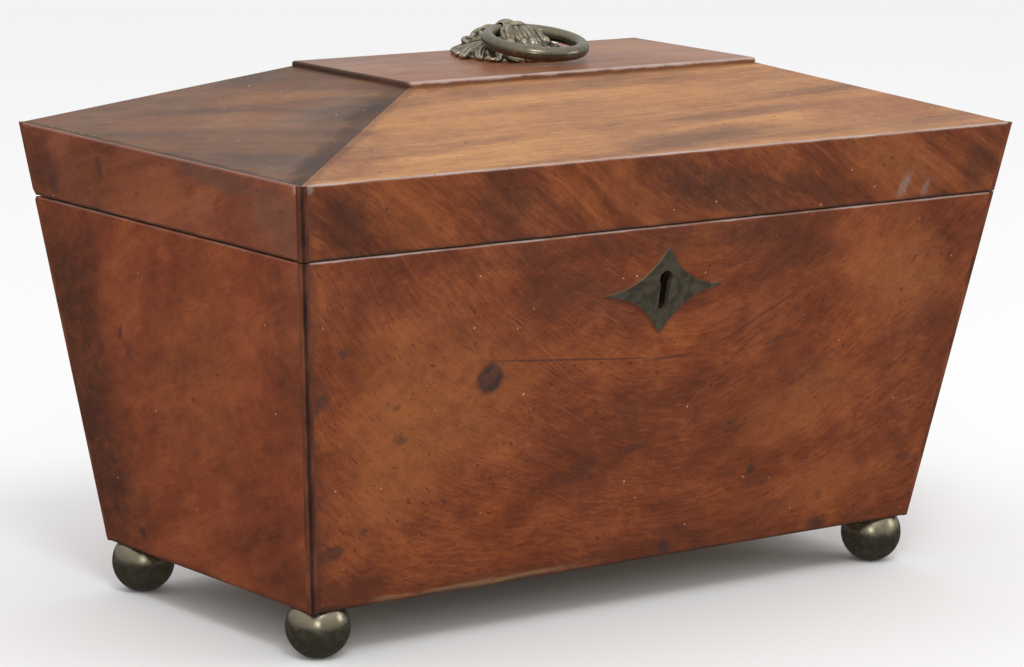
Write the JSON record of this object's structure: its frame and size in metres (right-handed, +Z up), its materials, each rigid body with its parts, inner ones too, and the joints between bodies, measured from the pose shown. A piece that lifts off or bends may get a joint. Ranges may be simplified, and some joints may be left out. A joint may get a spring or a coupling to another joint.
{
  "type": "tea caddy",
  "caption": "Canted wooden tea caddy with a hinged hipped lid, lion-mask ring handle, lozenge escutcheon with a lock, brass ball feet, lidded tea compartments and a glass bowl.",
  "frame": {"origin": "on the ground under the middle of the caddy", "axes": "+Z up, -Y towards the front with the keyhole, +X to the right of someone facing the front (from the left end to the right end)"},
  "size_m": [0.305, 0.166, 0.1942],
  "materials": {
    "mahogany": "old french polish, worn",
    "ebonised": "ebonised, polished",
    "deal": "bare, aged",
    "brass": "dark patina, worn on high spots",
    "steel": "dull",
    "glass": "clear"
  },
  "bodies": {
    "carcase": {"carcase_front": "mahogany", "carcase_back": "mahogany", "carcase_left_end": "mahogany", "carcase_right_end": "mahogany", "carcase_bottom": "deal", "carcase_corner_stringing": "ebonised", "foot_front_left": "brass", "foot_front_right": "brass", "foot_back_left": "brass", "foot_back_right": "brass", "escutcheon": "brass", "lock_case": "brass", "lock_selvedge": "brass", "lock_drill_pin": "steel", "lock_screws": "brass", "hinge_left_lower_leaf": "brass", "hinge_right_lower_leaf": "brass", "hinge_left_pin": "steel", "hinge_right_pin": "steel", "hinge_lower_screws": "brass", "partition_left": "mahogany", "partition_right": "mahogany", "tea_ledges_left": "mahogany", "tea_ledges_right": "mahogany", "bowl_ledge_left": "mahogany", "bowl_ledge_right": "mahogany", "bowl_board": "mahogany"},
    "lid": {"lid_front_rail": "mahogany", "lid_back_rail": "mahogany", "lid_left_rail": "mahogany", "lid_right_rail": "mahogany", "lid_front_slope": "mahogany", "lid_back_slope": "mahogany", "lid_left_slope": "mahogany", "lid_right_slope": "mahogany", "lid_corner_stringing": "ebonised", "lid_top_board": "mahogany", "lid_lining_panel": "mahogany", "hinge_left_upper_leaf": "brass", "hinge_right_upper_leaf": "brass", "hinge_upper_screws": "brass", "link_plate": "brass", "link_staples": "brass", "link_plate_screws": "brass", "handle_mask": "brass", "handle_nut": "brass"},
    "ring": {"handle_ring": "brass"},
    "lock_bolt": {"lock_bolt": "steel"},
    "tea_lid_left": {"tea_lid_left": "mahogany", "tea_lid_knob_left": "brass"},
    "tea_lid_right": {"tea_lid_right": "mahogany", "tea_lid_knob_right": "brass"},
    "mixing_bowl": {"mixing_bowl": "glass"}
  },
  "joints": [
    {"name": "lid_hinge", "type": "hinge", "parent": "carcase", "child": "lid", "pos_m": [0, 0.07678, 0.1352], "axis": [-1, 0, 0], "range_deg": [0, 95]},
    {"name": "ring_swing", "type": "hinge", "parent": "lid", "child": "ring", "pos_m": [0, 0.0118, 0.1901], "axis": [-1, 0, 0], "range_deg": [0, 110]},
    {"name": "bolt_throw", "type": "slide", "parent": "carcase", "child": "lock_bolt", "axis": [1, 0, 0], "range_m": [0, 0.005]},
    {"name": "tea_lid_left_lift", "type": "slide", "parent": "carcase", "child": "tea_lid_left", "axis": [0, 0, 1], "range_m": [0, 0.014]},
    {"name": "tea_lid_right_lift", "type": "slide", "parent": "carcase", "child": "tea_lid_right", "axis": [0, 0, 1], "range_m": [0, 0.014]},
    {"name": "bowl_lift", "type": "slide", "parent": "carcase", "child": "mixing_bowl", "axis": [0, 0, 1], "range_m": [0, 0.014]}
  ]
}
